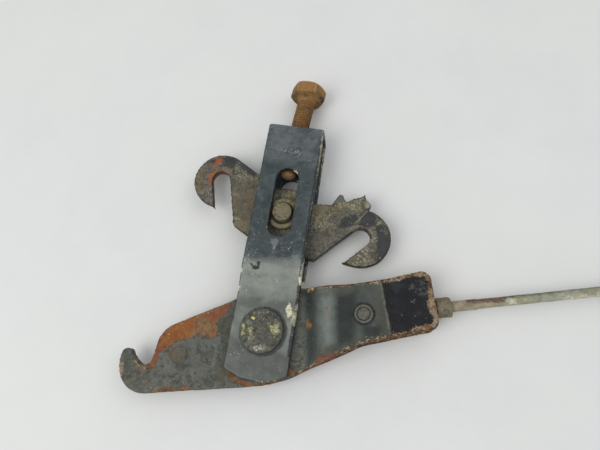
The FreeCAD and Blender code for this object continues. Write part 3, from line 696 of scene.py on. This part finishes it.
# -------- where each finish changes
LEVER_PATCHES = {
    "gloss": [[(22, 30), (19.6, 8), (21, -24), (60, -12), (57.6, -1), (54.8, 26)]],
    "dim": [[(-24, 8), (-15, 10), (-12, -22), (-27, -24), (-21, -8)],
            [(-66, -12), (-60, -10), (-62, -20), (-68, -22)]],
    "faded": [[(-34, -2), (-32, 12), (-14, 18), (-18, -2)]],
    "shadow": [[(19.6, 19), (25, 18), (24, -12), (21, -16)], [(34, 16), (44, 17), (42, -6), (34, -8)],
               [(46, 2), (54, 2), (56, -4), (46, -5)]],
    # painted highlight on the joggle's upper bend
    "sheen": [[(26.6, 17.4), (33, 17.6), (33, -6), (27.6, -9)]],
    "red": [[(-30, 8), (-16, 14), (-18, 10), (-24, 4)], [(-54, -15), (-50, -14), (-48, -6), (-52, -6)],
            [(24, -13), (33, -9.6), (33, -12), (24, -16)]],
    "wear": [[(50, 19), (51, 6), (53, -3), (58.2, -3), (55, 20)],
             [(24, 17.4), (40, 18.6), (50, 18.6), (40, 15.6), (24, 14)],
             [(24, -8), (34, -7), (40, -6), (36, -9), (26, -13)]],
    "tinge": [[(-20, -13.6), (-15.6, -15), (-16, -20), (-20, -22)],
              [(-46, -8), (-39, -6), (-37.6, -13), (-44, -13)]],
    # painted shade where the box end bends down away from the light
    "black": [[(55, 21.6), (58.7, 20.9), (63, 22), (70, 24.4), (77, 24.4), (78.8, 19), (77.4, 15.5),
               (76.4, 8), (78.6, 5), (77.6, 1.2), (69, -0.4), (66, -2.4), (58.5, -2.6)]],
    "smudge": [[(69, 20.6), (75, 22), (78, 19), (76.6, 14), (72, 15.6), (68, 18)]],
    # painted highlight on the outer corner of the bend near the box end
    "crease_highlight": [[(54.7, 20.6), (55.5, 20.6), (58.4, -2.2), (57.6, -2.2)]],
    "bare": [[(80, 28), (73, 28), (57, 24), (57, 20.6), (63, 21.6), (70, 23.8), (75.8, 23.4), (77.8, 20),
              (76.4, 15.4), (75.4, 8.6), (77.6, 5), (76.4, 2), (69, 0.6), (66, -1.6), (59, -2.4),
              (58, -8), (82, -6)], [(-70, -12), (-67, -13.5), (-66, -16.5), (-67, -20), (-72, -18)],
             [(-61, -11), (-59, -14), (-55, -16), (-58, -16.5), (-62, -13)],
             [(-52, -30), (-50, -25.5), (-46, -24.6), (-44, -30)]],
    "margin": [[(16, 30), (16, 10), (60, 12), (60, 2), (16, -6), (12, -24), (60, -20), (90, -10),
                (90, 40)]],
    "rust": [[(-54, -17), (-56, -14), (-52, -12), (-54, -2), (-46, 7), (-28, 13), (-15, 17), (-17.5, 11),
              (-20, 8), (-23, 4.5), (-21.6, -0.6), (-24.5, -2.4), (-32.5, -0.4), (-34, -2), (-38.5, -3),
              (-44, -6), (-48, -8), (-50, -9), (-50.4, -15.6)],
             [(-50, -30), (-48, -25), (-44, -24.4), (-39, -25.4), (-34, -24.8), (-31, -26), (-31, -30)],
             [(-17, -17.4), (-13.6, -19), (-10.7, -21.2), (-4, -22.8), (9, -21.4), (10, -24), (-3, -26),
              (-11, -23), (-17, -19.4)], [(10.6, -16), (15, -15.6), (13.6, -19), (10.6, -20.6)],
             [(20, 4.4), (21.4, 5.4), (22.8, 4.2), (22.6, 0.8), (21.4, 0.4)],
             [(29, 10), (30.4, 9.8), (30, 8.6)]],
    "bright": [[(-52, -8), (-46, 3), (-34, 8), (-33, 2), (-36, -1), (-46, -5)],
               [(-22, 9), (-17, 12), (-19, 8)]],
    # painted contact shadow around the spacer rivet
    "painted_shade": [circle(46.8, 6.6, 5.3)],
}
YOKE_PATCHES = {
    "worn": [[(-20, 32.5), (20, 34.5), (20, -30), (-20, -30)]],
    "top": [[(-20, 110), (20, 110), (20, 84), (-20, 88)]],
    # painted highlight on the sloping part of the fold
    "slope_highlight": [[(-20, 31.6), (20, 33.4), (20, 19), (-20, 19)]],
    "foot": [[(-20, -3), (20, -8), (20, -30), (-20, -30)]],
    "dull": [[(-14, 14), (14, 15), (14, 9.4), (-14, 9.4)]],
    # painted shade on the inner walls of the pin's opening
    "slot_wall_shade": [[(-5.65, 51), (-4, 47), (0, 45.4), (4, 47), (5.65, 51), (5.65, 76), (4, 80), (0, 81.8),
              (-4, 80), (-5.65, 76)]],
    # painted contact shadow around the pivot rivet's head
    "painted_shade": [circle(0.7, -0.1, 11.3)],
    "splat": [[(-3, 43.6), (0.4, 43.4), (0.6, 41), (-0.6, 36.6), (-1.6, 40)],
              [(9, 36), (12, 38), (12.6, 33)]],
    "scuff": [[(-6, 93.2), (5, 93), (5, 89.6), (-2, 90), (-6, 91.4)], [(5, 102.4), (9, 104), (9, 102.4)],
              [(-13, 101.4), (-9, 102.4), (-9, 101.2)]],
    "flaked": [[(-11.4, 31), (-8.6, 27.6), (-6, 28.4), (-6, 31.4), (-7.2, 32.2), (-7.4, 29.6),
                (-9, 29.4)]],
    "dust": [[(-16, 42), (-11, 40), (-7, 34), (-8, 26), (-13, 20), (-16, 20)],
             [(8, 34), (16, 40), (16, 24), (10, 26)]],
    # painted shade on the strap's right side band
    "right_rim": [[(14.1, 101), (18, 101), (18, 84), (13.8, 84)],
                  [(13.5, 84), (18, 84), (18, -10), (13.4, -10)]],
    "right_edge": [[(14.5, 103), (18, 103), (18, 78), (14.9, 78)],
                   [(14.6, 36), (18, 36), (18, 26), (14, 26)], [(13.4, 14), (18, 14), (18, 4), (13, 5)]],
    "chip": [[(10.4, 14.6), (12.6, 12.4), (12.4, 8), (11, 7.2), (9.4, 10.6)],
             [(-15.4, 27.4), (-14.2, 27), (-14, 25.8), (-15.4, 25.6)],
             [(-15.4, 19), (-14, 18.6), (-14.2, 17), (-15.4, 17)],
             [(13, 27), (16, 27), (16, 23), (13.6, 23.4)], [(2.4, 81.8), (4, 81.6), (4.9, 79), (4, 79)]],
}
HOOK_PATCHES = {
    "grime": [[(12, 12), (24, 18), (30, 26), (35, 26), (36, 18), (26, 14), (18, 4), (10, -8)],
              [(-30, 16), (-16, 16), (-14, 9), (-26, 9)], [(-26, -12), (-12, -8), (-12, -20), (-24, -18)],
              [(44, 16), (50, 16), (50, 10), (44, 11)], [(30, -6), (40, -4), (46, -10), (40, -14)],
              [(-4, 16), (8, 15), (6, 8), (-6, 8)]],
    "smooth": [[(-34, 2), (-22, 8), (-14, 7), (-14, -16), (-24, -17), (-31, -8)],
               [(-48, 8), (-40, 16), (-34, 12), (-40, 9)]],
    "light": [[(8, 20), (20, 17.4), (19, 10.4), (15, 8.6), (11, 9.4), (8, 12)],
              [(-22, -14), (-15, -9), (-12, -14), (-18, -18)]],
    "dark": [[(44, 13.6), (47.4, 15.6), (52, 13.4), (57, 7), (56, -2), (53, -5), (49.4, 1.8), (48, 6.8)],
             [(37, 10.8), (35.6, 16), (38.6, 20.4), (44.8, 17.8), (45, 13), (41, 11)],
             [(28.5, 10.6), (32.6, 15.8), (36, 12.4), (32.7, 6.6), (27.6, 4.4)],
             [(-36, 20), (-24, 16), (-24, 12.6), (-33, 15)],
             [(-52, 12), (-44, 19), (-36, 19), (-38, 13), (-46, 11)]],
    "block": [[(19.6, 15.6), (21, 22.4), (23.4, 23), (24.8, 20.4), (22.4, 17.4)]],
    "facet": [[(35.4, 24.4), (39, 23.2), (38.7, 20), (36, 20.4)]],
    "fleck": [[(42.7, 9.4), (45.6, 11), (48, 7.1), (46.8, 3.2), (45.1, 3.9)],
              [(48.5, 12.6), (49.9, 13.6), (51, 11.4), (50, 10.6)],
              [(43.6, 16.2), (46.6, 17.4), (47.6, 14.8), (45, 14.8)],
              [(41.6, -4.2), (43.7, 1), (48, 1.6), (50, -2.9), (47, -6.4)],
              [(29, 21), (33.2, 25.4), (34.8, 22), (33.4, 18), (30, 17), (27, 19)],
              [(15, 5), (22, 8), (25, 6), (22, 1), (18, -1)], [(-20, 12), (-14, 12), (-15, 4), (-19, 6)]],
    "line": [[(8, 11.5), (12.5, 9.1), (16.2, 8.1), (20.7, 8.9), (25, 11.3), (25.2, 10.9), (20.8, 8.4),
              (16.2, 7.6), (12.5, 8.6), (8, 11)],
             [(34.2, 10), (36.4, 15.4), (37.9, 20), (38.3, 20), (36.9, 15.3), (34.7, 10)]],
    "tan": [[(-56, 6), (-51, 5), (-47, -2), (-45.6, -6), (-52, -8), (-57, 0)],
            [(-24, 4), (-14, 6), (-14, -6), (-22, -4)], [(-34, -2), (-28, 0), (-26, -6), (-32, -8)],
            [(34, -2), (42, 0), (40, -10), (34, -8)]],
    "bright": [[(-47.6, 4.5), (-45.8, 7.4), (-42.4, 9.8), (-38.6, 9.4), (-37.4, 7), (-40, 6), (-43, 4),
                (-43.6, 0), (-45.8, 1.5)],
               [(-49, 15), (-45.6, 16), (-44.8, 13.4), (-46.8, 11), (-47.6, 9)]],
}
COLLAR_PATCHES = {
    # painted shade around the cross pin and at its sides, within the strap's opening
    "painted_shade": [[(5.3, 49), (9, 49), (9, 67), (5.3, 67)], [(-9, 49), (-5.3, 49), (-5.3, 67), (-9, 67)],
             circle(0, 58.6, 6.1)],
    "moss": [[(-6, 62), (6, 62), (6, 68), (-6, 68)], [(0, 53.4), (4, 53.4), (4, 50), (0, 50)]],
}
BOLT_PATCHES = {
    # painted shade on the facets facing away from the light
    "shaded_facet": [[(-12, 18), (-4.6, 18), (-4.9, 25), (-12, 25)], [(5.2, 22), (12, 22), (12, 25), (6, 25)]],
    # painted highlight on the lit facets
    "lit_facet": [[(-4.3, 23.6), (4.4, 23.6), (4.4, 28), (-4.3, 28)], [(6, 25), (9, 25), (9, 28), (6, 28)]],
    # painted highlights along the head's corners and top rim
    "edge_highlight": [[(-5.2, 22), (-4.6, 22), (-4.6, 29), (-5.2, 29)],
              [(4.6, 22), (5.2, 22), (5.2, 29), (4.6, 29)],
              [(-9, 27.9), (9, 27.9), (9, 28.6), (-9, 28.6)]],
    # painted shadow at the shank's base and under the head's right side
    "painted_shade": [[(-6, -1), (6, -1), (6, 1.2), (-6, 1.4)], [(7.4, 21.5), (10, 21.5), (10, 23), (8, 23.4)]],
}
RIVET_PATCHES = {
    "fleck": [[(3, 3), (5.4, 2), (8.4, 3), (9, -1), (6.6, -3), (5, -1), (4.4, 1)],
              [(-5.6, 1.6), (-4, 1), (-3.6, -3.4), (-5.2, -3.6)],
              [(-8.4, 3), (-7.4, 3), (-7.8, -3), (-9, -2)]],
    "bright": [[(-4.6, 5.6), (-3.6, 6.4), (-2.7, 5.6), (-3.4, 4.6)]],
    "pale": [[(-4, -7), (0, -6.4), (2, -8.4), (-2, -9.4)], [(-1.6, 8.4), (3, 8.6), (3.4, 7.2), (-1, 7.2)],
             [(6, 1), (8, 1), (8, -1), (6, -1)]],
}
ROD_PATCHES = {
    "tan": [[(-9, 84), (-1, 84), (-1, 111), (-9, 112)]],
    "brown": [[(-6, 94), (-3.6, 95), (-3.0, 104), (-2.0, 110), (-4.4, 112.6), (-6, 111)]],
    "shade": [[(-6, 104), (-4.2, 104), (-4.0, 124), (-4.8, 140), (-5, 160), (-6, 160)]],
    "fleck": [[(-3.6, 112.4), (-1.0, 113), (-1.0, 116), (-2.8, 116.4)],
              [(-1.8, 137), (-0.6, 137), (-0.6, 156), (-1.6, 156)]],
}


# -------- pieces
PART_FIELDS = ("painted_shade", "moss", "shaded_facet", "lit_facet", "edge_highlight")  # patches few small parts have
SKEW_FROM, SKEW_RUN = 86, 20  # the yoke's end leans from here, growing over this length
SKEW_OUT, SKEW_SLOPE = 0.4, 0.05  # how far its middle moves out, and how much it turns
PLY_RIM = 1.08              # the flush rivets are wider than the CAD's, so no gap shows
HEAD_DEEP = 1.2             # the upper part of the spacer rivet's head has a groove:
LIP_DEEP, LIP_RADIUS, LIP_WIDE = 0.45, 2.9, 0.35
SIXTH = math.pi / 3
# The bolt: heights over the head's underside and widths past the shank, then its head's rings as
# heights over its underside or top and how far the corners are cut, or as shares of the flats.
BOLT_CHAMFER, BOLT_GROOVE, THREAD_END, THREAD_FADE = 0.9, 0.95, 1.9, 1.6
BOLT_NECK = ((-0.6, 0.15), (-0.3, 0.8), (-0.1, 1.8))
WASHER_FACE, HEAD_SIDE, HEAD_FULLER = 0.8, 0.1, 0.1
HEAD_FOOT, HEAD_CROWN = ((0.15, 0.9), (0.7, 0.15)), ((-0.6, 0.7), (-0.1, 1.4))
HEAD_TOP = (0.93, 0.8, 0.6, 0.4, 0.2)
HEAD_OVER = 7.0             # all that is wider than this is the head
SIDE_START, SIDE_LOSS = 0.7, 1.9  # where the head's sides start, and how much shorter they are
BOLT_SIDES, ROD_SIDES = 96, 28  # vertices around
BOLT_STEPS, ROD_STEPS = 9, 8  # rings in a turn of the threads
# The rod: how much thicker than the CAD's it is, its threads' depths and its ends' chamfers.
NEAR_FULLER, PLAIN_FULLER, FAR_FULLER = 0.15, 0.1, 0.1
NEAR_GROOVE, FAR_GROOVE, NEAR_END, FAR_END = 0.34, 0.42, 0.6, 0.8


def finished(mesh, material, node):
    """The piece that a finished mesh makes."""
    smooth(mesh)
    mesh.materials.append(material)
    return new_piece("worn_" + node, mesh, node)


def worn_plate(node, voxel, patches, place, material, pits, seed):
    """A plate or forging with worn edges, pits and patches of other finishes."""
    mesh = grained(node, voxel)
    put_patches(mesh, patches, place)
    rounded_off(mesh, *PLATE_EDGE)
    roughened(mesh, PLATE_LUMPS, pits, seed)
    return finished(mesh, material, node)


def pit_rust(piece, fields, depth, seed):
    """Eats deeper pits into a piece where it is rusted or chipped."""
    mesh = piece.data
    rusted = np.max([get_field(mesh, field) for field in fields], axis=0)
    roughened(mesh, PIT_SIZE, depth, seed, 3, np.clip(rusted * PIT_RISE + PIT_BORDER, 0, 1))


def small_part(node, voxel, material, depth, seed, size=1.6, patches=None):
    """A fastener with soft edges and a corroded surface."""
    mesh = grained(node, voxel)
    for field in PART_FIELDS:
        put_field(mesh, field, np.full(len(mesh.vertices), OUTSIDE))
    put_patches(mesh, patches or {}, LATCH)
    rounded_off(mesh, *PART_EDGE)
    roughened(mesh, size, depth, seed)
    return finished(mesh, material, node)


def skew_web(mesh):
    """The strap was folded slightly askew, so its closed end leans across the yoke."""
    there, back = np.array(YOKE), np.array(YOKE.inverted())
    local = positions(mesh) @ back[:3, :3].T
    share = np.clip((local[:, 1] / MM - SKEW_FROM) / SKEW_RUN, 0, 1)
    local[:, 1] += share * (SKEW_OUT * MM - local[:, 0] * SKEW_SLOPE)
    put_positions(mesh, local @ there[:3, :3].T)


def bolt(material):
    """The adjuster bolt with its rolled thread, washer face and worn hexagon head."""
    rows = local_rows(frame["nodes"]["adjuster_bolt"].data, BOLT)
    reach = np.hypot(rows[:, 0], rows[:, 1])
    low, top = rows[:, 2].min(), rows[:, 2].max()
    seat = rows[reach > HEAD_OVER][:, 2].min()
    shank = reach[rows[:, 2] < seat - 1].max()
    corner = reach.max()
    flat = corner * math.cos(math.radians(30))

    def hexagon(cut):
        """The head's radius by angle, its corners cut back."""
        most = corner - cut
        return lambda angle: min(flat / math.cos(angle % SIXTH - SIXTH / 2), most) + HEAD_FULLER

    threaded = seat - THREAD_END - low
    groove = thread(shank, BOLT_GROOVE, BOLT_PITCH, high=seat - THREAD_FADE)
    rings = [ring_at(low, shank - 1.0)]
    steps = int(threaded / BOLT_PITCH * BOLT_STEPS)
    rings += [ring_at(low + BOLT_CHAMFER + threaded * step / steps, groove)
              for step in range(steps + 1)]
    rings += [ring_at(seat + up, shank + wider) for up, wider in BOLT_NECK]
    rings.append(ring_at(seat, flat - WASHER_FACE))
    rings += [(seat + up, hexagon(cut)) for up, cut in HEAD_FOOT]
    rings += [(seat + SIDE_START + (top - seat - SIDE_LOSS) * step / 10, hexagon(HEAD_SIDE))
              for step in range(1, 11)]
    rings += [(top + up, hexagon(cut)) for up, cut in HEAD_CROWN]
    rings += [ring_at(top, flat * share) for share in HEAD_TOP]
    mesh = lathe("adjuster_bolt_threaded", rings, BOLT_SIDES, BOLT)
    local = local_rows(mesh, BOLT)
    depth = shank - np.hypot(local[:, 0], local[:, 1])
    put_field(mesh, "groove", np.where(local[:, 2] < seat - 0.6, depth, 0.0))
    measure_edges(mesh, "adjuster_bolt")
    put_patches(mesh, BOLT_PATCHES, BOLT_PLAN)
    roughened(mesh, 4, 0.2, 4)
    roughened(mesh, 1.2, 0.08, 14)
    mesh.set_sharp_from_angle(angle=math.radians(24))
    mesh.materials.append(material)
    new_piece("threaded_adjuster_bolt", mesh, "adjuster_bolt")


def rod(material):
    """The handle rod with a rolled thread at each end."""
    rows = local_rows(frame["nodes"]["handle_rod"].data, ROD)
    reach = np.hypot(rows[:, 0], rows[:, 1])
    start, end = rows[:, 2].min(), rows[:, 2].max()
    middle = (start + end) / 2
    thick = reach.max()
    thin = reach[np.abs(rows[:, 2] - middle) < 40].min()
    shoulders = rows[reach > thick - 0.01][:, 2]
    first, second = shoulders[shoulders < middle].max(), shoulders[shoulders > middle].min()

    def threaded(low, high, groove):
        """The rings of a threaded stretch."""
        steps = int((high - low) / ROD_PITCH * ROD_STEPS)
        return [ring_at(low + (high - low) * step / steps, groove) for step in range(steps + 1)]

    plain = int(second - first)
    near = thread(thick + NEAR_FULLER, NEAR_GROOVE, ROD_PITCH, high=first)
    far = thread(thick + FAR_FULLER, FAR_GROOVE, ROD_PITCH, low=second)
    rings = [ring_at(start, thick - NEAR_END)]
    rings += threaded(start + NEAR_END, first, near)
    rings += [ring_at(first + (second - first) * step / plain, thin + PLAIN_FULLER)
              for step in range(1, plain)]
    rings += threaded(second, end - FAR_END, far)
    rings.append(ring_at(end, thick - FAR_END))
    mesh = lathe("handle_rod_threaded", rings, ROD_SIDES, ROD)
    local = local_rows(mesh, ROD)
    cut = (local[:, 2] < first) | (local[:, 2] > second)
    put_field(mesh, "groove", np.where(cut, thick - np.hypot(local[:, 0], local[:, 1]), 0.0))
    put_patches(mesh, ROD_PATCHES, ROD_PLAN)
    roughened(mesh, 7, 0.2, 6)
    mesh.materials.append(material)
    new_piece("threaded_handle_rod", mesh, "handle_rod")


lever = lever_finish("lever_worn_paint")
for node, voxel, seed in (("lever_front_plate", 0.5, 1), ("lever_rear_plate", 0.6, 2)):
    plate = worn_plate(node, voxel, LEVER_PATCHES, LATCH, lever, 0.14, seed)
    pit_rust(plate, ["rust", "bare"], 0.35, seed + 30)
for node, seed in (("hook_ply_rivet", 40), ("heel_ply_rivet", 41)):
    flush = small_part(node, 0.25, lever, 0.1, seed, 2, LEVER_PATCHES).data
    middle = centre(node)[:2] * MM
    rows = positions(flush)
    rows[:, :2] = middle + (rows[:, :2] - middle) * PLY_RIM
    put_positions(flush, rows)

paint = yoke_finish("yoke_blue_black_paint")
strap = worn_plate("yoke_strap", 0.5, YOKE_PATCHES, YOKE, paint, 0.12, 3)
pit_rust(strap, ["chip", "flaked", "scuff"], 0.25, 33)
skew_web(strap.data)
for node, depth in (("adjuster_block", 0.1), ("block_welds", 0.4)):
    mesh = grained(node, 0.4)
    put_patches(mesh, YOKE_PATCHES, YOKE)
    roughened(mesh, 2.5, depth, 50)
    finished(mesh, paint, node)

steel = hook_finish("hook_weathered_steel")
double_hook = worn_plate("double_hook", 0.42, HOOK_PATCHES, HOOK, steel, 0.3, 5)
pit_rust(double_hook, ["grime", "tan"], 0.3, 35)

small_part("pivot_rivet", 0.3, rivet_finish("rivet_pitted_steel"), 0.4, 6, 3, RIVET_PATCHES)
rusty = [(104, 78, 48), (130, 96, 57), (150, 110, 64), (118, 86, 52)]
bolt(rust_finish("bolt_brown_rust", rusty, 0.08))
dusty = rust_finish("thrust_pin_rust", [(104, 82, 62), (134, 106, 78), (148, 118, 88)], 0.12)
small_part("thrust_pin", 0.2, dusty, 0.12, 8)
pin = grimy_finish("pin_grimy_steel", [(88, 80, 62), (116, 106, 84), (102, 92, 70)])
small_part("cross_pin", 0.25, pin, 0.22, 9)
for node, seed in (("pin_collar_front", 10), ("pin_collar_rear", 11)):
    put_patches(small_part(node, 0.3, pin, 0.2, seed).data, COLLAR_PATCHES, YOKE)
dimpled = grimy_finish("spacer_rivet_steel", [(72, 74, 70), (94, 95, 90)], 0.4, 0.4)
ringed = small_part("spacer_rivet", 0.2, dimpled, 0.08, 12).data
rows, away = positions(ringed), around(ringed, "spacer_rivet")
on_head = rows[:, 2] > rows[:, 2].max() - HEAD_DEEP * MM
rows[:, 2] -= np.where(on_head, LIP_DEEP * MM * np.exp(-((away - LIP_RADIUS) / LIP_WIDE) ** 2), 0)
put_positions(ringed, rows)
sleeve = grimy_finish("sleeve_steel", [(66, 62, 54), (84, 78, 66)])
small_part("spacer_sleeve", 0.4, sleeve, 0.1, 13)
nut = grimy_finish("nut_brown_steel", [(92, 84, 66), (116, 106, 86), (102, 94, 74)], 0.6, 0.4)
small_part("rod_nut_outer", 0.22, nut, 0.25, 14)
small_part("rod_nut_inner", 0.22, nut, 0.2, 15)
rod(rod_finish("rod_galvanised"))


# -------- floor, light and camera
TABLE_SIZE = 16.0           # metres
AIM = (0.03, 0.03, 0)       # the lights point here, at the latch's middle
LIGHTS = (("window_left", (-0.62, -0.36, 0.95), 0.8, 6.4, (1.0, 1.0, 0.95)),
          ("room_right", (0.8, 0.3, 1.0), 0.9, 2.6, (0.97, 0.96, 1.0)))
ROOM_COLOUR, ROOM_STRENGTH = (0.975, 0.985, 0.985, 1), 0.68
LENS, SENSOR = 27.06, 36    # mm, as the photograph's perspective has it
CAMERA_PLACE, CAMERA_TILT = (0.04165, -0.02437, 0.2225), (19.76, 6.547, 0)


def floor():
    """A plain pale table top."""
    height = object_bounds()[0][2] - TABLE_GAP * MM
    bpy.ops.mesh.primitive_plane_add(size=TABLE_SIZE, location=(0, 0, height))
    top = bpy.context.object
    top.name = "table_top"
    look = Finish("table_pale", [(214, 215, 213), (218, 219, 217)], 60, 0.6)
    look.coat(look.blots(140, 0.5, 0.2), [(210, 211, 213), (215, 216, 217)], 40, 0.65)
    look.grain(3, 0.02)
    top.data.materials.append(look.done(0.2))


def softbox(name, place, size, power, colour):
    """A square area light, aimed at the latch."""
    light = bpy.data.lights.new(name, "AREA")
    light.size = size
    light.energy = power
    light.color = colour
    holder = linked(name, light)
    holder.location = place
    holder.rotation_euler = (Vector(AIM) - Vector(place)).to_track_quat("-Z", "Y").to_euler()


def camera():
    """The photographer's place, close above the lever's middle."""
    lens = bpy.data.cameras.new("camera")
    lens.lens = LENS
    lens.sensor_width = SENSOR
    holder = linked("camera", lens)
    holder.location = CAMERA_PLACE
    holder.rotation_euler = [math.radians(angle) for angle in CAMERA_TILT]
    bpy.context.scene.camera = holder


floor()
for light in LIGHTS:
    softbox(*light)
world = bpy.data.worlds.new("room")
world.use_nodes = True
sky = world.node_tree.nodes["Background"]
sky.inputs["Color"].default_value = ROOM_COLOUR
sky.inputs["Strength"].default_value = ROOM_STRENGTH
bpy.context.scene.world = world
bpy.context.scene.view_settings.view_transform = "Standard"
camera()
